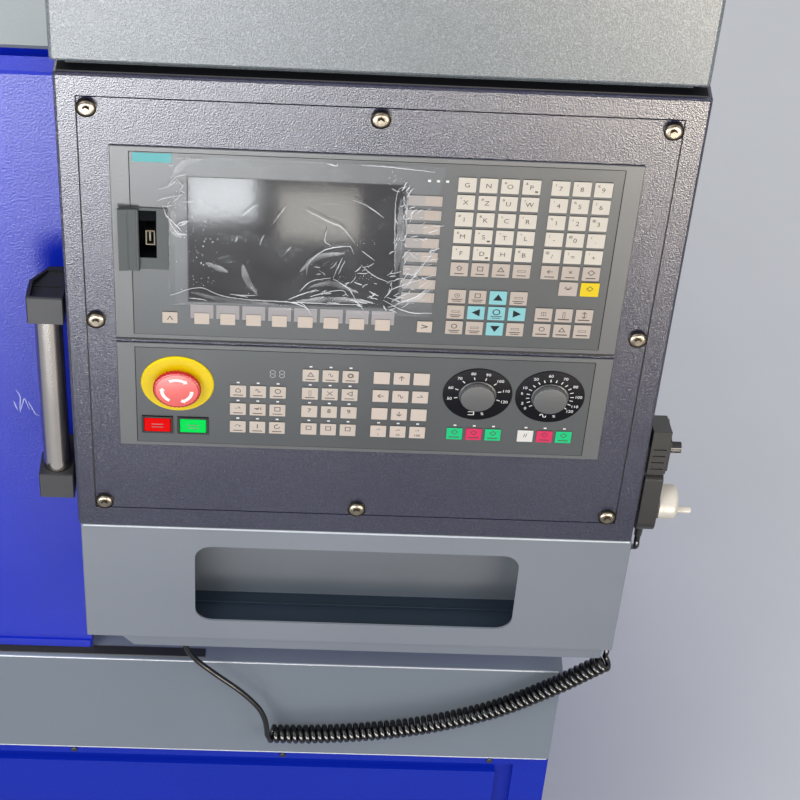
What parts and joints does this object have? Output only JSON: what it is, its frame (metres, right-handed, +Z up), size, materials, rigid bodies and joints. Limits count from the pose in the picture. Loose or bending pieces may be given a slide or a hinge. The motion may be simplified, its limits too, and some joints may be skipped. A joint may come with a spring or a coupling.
{
  "type": "cnc turning lathe",
  "caption": "Flat-bed turning lathe with a sliding door, chuck, cross slide and tailstock, and a side console with keys, override dials, a stop button, a tool tray and a corded pulse wheel",
  "frame": {"origin": "on the floor under the middle of the machine's bounding box", "axes": "+X to the operator's right along the spindle axis, +Y to the rear, +Z up; front faces -Y"},
  "size_m": [2.3872, 1.4544, 1.766],
  "materials": {
    "machine_blue": "orange-peel gloss paint",
    "belt_grey": "satin paint",
    "shroud_grey": "textured light grey paint",
    "console_slate": "hammered paint",
    "unit_grey": "matt film",
    "screen_glass": "dark display glass",
    "black_plastic": "matt black",
    "cream_plastic": "cream plastic",
    "yellow_plastic": "yellow plastic",
    "red_plastic": "red plastic",
    "green_plastic": "green plastic",
    "knob_grey": "grey plastic",
    "wheel_white": "off-white plastic",
    "bright_steel": "brushed",
    "cast_iron_grey": "painted and machined casting",
    "cord_rubber": "black cord sheath",
    "window_glass": "clear window"
  },
  "bodies": {
    "machine": {"base_cabinet": "machine_blue", "headstock_housing": "machine_blue", "front_cover": "machine_blue", "back_cover": "machine_blue", "end_cover": "machine_blue", "chip_pan": "belt_grey", "tool_tray": "belt_grey", "roof_cover": "shroud_grey", "console_shroud": "shroud_grey", "electrical_cabinet": "shroud_grey", "console_housing": "console_slate", "console_plate": "console_slate", "screen_unit": "unit_grey", "control_unit": "unit_grey", "screen_glass": "screen_glass", "handwheel_hanger": "black_plastic", "handwheel_body": "black_plastic", "tray_cord_gland": "black_plastic", "usb_socket": "cream_plastic", "stop_collar": "yellow_plastic", "door_top_rail": "bright_steel", "door_bottom_rail": "bright_steel", "console_screw_1": "bright_steel", "console_screw_2": "bright_steel", "console_screw_3": "bright_steel", "console_screw_4": "bright_steel", "console_screw_5": "bright_steel", "console_screw_6": "bright_steel", "console_screw_7": "bright_steel", "console_screw_8": "bright_steel", "machine_bed": "cast_iron_grey", "cord_coil": "cord_rubber", "cord_lead": "cord_rubber", "cord_tail": "cord_rubber"},
    "door": {"door_leaf": "machine_blue", "door_window": "window_glass", "handle_tube": "bright_steel", "handle_bracket_top": "black_plastic", "handle_bracket_bottom": "black_plastic"},
    "stop_button": {"stop_button": "red_plastic"},
    "red_button": {"red_button": "red_plastic"},
    "green_button": {"green_button": "green_plastic"},
    "spindle_override_knob": {"spindle_override_knob": "knob_grey"},
    "feed_override_knob": {"feed_override_knob": "knob_grey"},
    "usb_flap": {"usb_flap": "unit_grey"},
    "pulse_wheel": {"pulse_wheel": "wheel_white"},
    "axis_selector": {"axis_selector": "black_plastic"},
    "spindle": {"spindle": "bright_steel", "chuck_body": "bright_steel"},
    "chuck_jaw_1": {"chuck_jaw_1": "bright_steel"},
    "chuck_jaw_2": {"chuck_jaw_2": "bright_steel"},
    "chuck_jaw_3": {"chuck_jaw_3": "bright_steel"},
    "carriage": {"carriage": "cast_iron_grey"},
    "cross_slide": {"cross_slide": "cast_iron_grey"},
    "tool_post": {"tool_post": "bright_steel"},
    "tailstock": {"tailstock": "cast_iron_grey"},
    "tailstock_quill": {"tailstock_quill": "bright_steel"},
    "cabinet_door": {"cabinet_door": "shroud_grey"},
    "cabinet_latch": {"cabinet_latch": "black_plastic"}
  },
  "joints": [
    {"name": "door_slide", "type": "slide", "parent": "machine", "child": "door", "axis": [-1, 0, 0], "range_m": [0, 0.87]},
    {"name": "stop_push", "type": "slide", "parent": "machine", "child": "stop_button", "axis": [0, 1, 0], "range_m": [0, 0.003]},
    {"name": "red_push", "type": "slide", "parent": "machine", "child": "red_button", "axis": [0, 1, 0], "range_m": [0, 0.003]},
    {"name": "green_push", "type": "slide", "parent": "machine", "child": "green_button", "axis": [0, 1, 0], "range_m": [0, 0.003]},
    {"name": "spindle_override_turn", "type": "hinge", "parent": "machine", "child": "spindle_override_knob", "pos_m": [0.9835, -0.718, 1.2484], "axis": [0, -1, 0], "range_deg": [-105, 105]},
    {"name": "feed_override_turn", "type": "hinge", "parent": "machine", "child": "feed_override_knob", "pos_m": [1.0459, -0.718, 1.2484], "axis": [0, -1, 0], "range_deg": [-150, 150]},
    {"name": "usb_flap_hinge", "type": "hinge", "parent": "machine", "child": "usb_flap", "pos_m": [0.6963, -0.72, 1.40825], "axis": [0, 0, 1], "range_deg": [0, 176]},
    {"name": "pulse_wheel_turn", "type": "hinge", "parent": "machine", "child": "pulse_wheel", "pos_m": [1.1596, -0.6947, 1.1005], "axis": [1, 0, 0], "continuous": true},
    {"name": "axis_selector_turn", "type": "hinge", "parent": "machine", "child": "axis_selector", "pos_m": [1.1593, -0.6947, 1.1703], "axis": [1, 0, 0], "range_deg": [-60, 60]},
    {"name": "spindle_turn", "type": "hinge", "parent": "machine", "child": "spindle", "pos_m": [-0.2396, -0.0437, 1.18], "axis": [1, 0, 0], "continuous": true},
    {"name": "jaw_1_slide", "type": "slide", "parent": "spindle", "child": "chuck_jaw_1", "axis": [0, 0, 1], "range_m": [-0.006, 0.006]},
    {"name": "jaw_2_slide", "type": "slide", "parent": "spindle", "child": "chuck_jaw_2", "axis": [0, -0.866, -0.5], "range_m": [-0.006, 0.006]},
    {"name": "jaw_3_slide", "type": "slide", "parent": "spindle", "child": "chuck_jaw_3", "axis": [0, 0.866, -0.5], "range_m": [-0.006, 0.006]},
    {"name": "carriage_slide", "type": "slide", "parent": "machine", "child": "carriage", "axis": [1, 0, 0], "range_m": [-0.17, 0.2]},
    {"name": "cross_slide_feed", "type": "slide", "parent": "carriage", "child": "cross_slide", "axis": [0, 1, 0], "range_m": [-0.12, 0.08]},
    {"name": "tool_post_index", "type": "hinge", "parent": "cross_slide", "child": "tool_post", "pos_m": [0.1664, -0.2137, 1.0666], "axis": [0, 0, 1], "range_deg": [0, 270]},
    {"name": "tailstock_slide", "type": "slide", "parent": "machine", "child": "tailstock", "axis": [1, 0, 0], "range_m": [-0.15, 0.04]},
    {"name": "quill_slide", "type": "slide", "parent": "tailstock", "child": "tailstock_quill", "axis": [-1, 0, 0], "range_m": [0, 0.1]},
    {"name": "cabinet_door_hinge", "type": "hinge", "parent": "machine", "child": "cabinet_door", "pos_m": [0.8594, 0.7049, 0.85], "axis": [0, 0, -1], "range_deg": [0, 110]},
    {"name": "cabinet_latch_turn", "type": "hinge", "parent": "cabinet_door", "child": "cabinet_latch", "pos_m": [0.2014, 0.7052, 1.15], "axis": [0, 1, 0], "range_deg": [0, 90]}
  ],
  "couplings": [
    {"joint": "jaw_2_slide", "follows": "jaw_1_slide", "ratio": 1},
    {"joint": "jaw_3_slide", "follows": "jaw_1_slide", "ratio": 1}
  ]
}
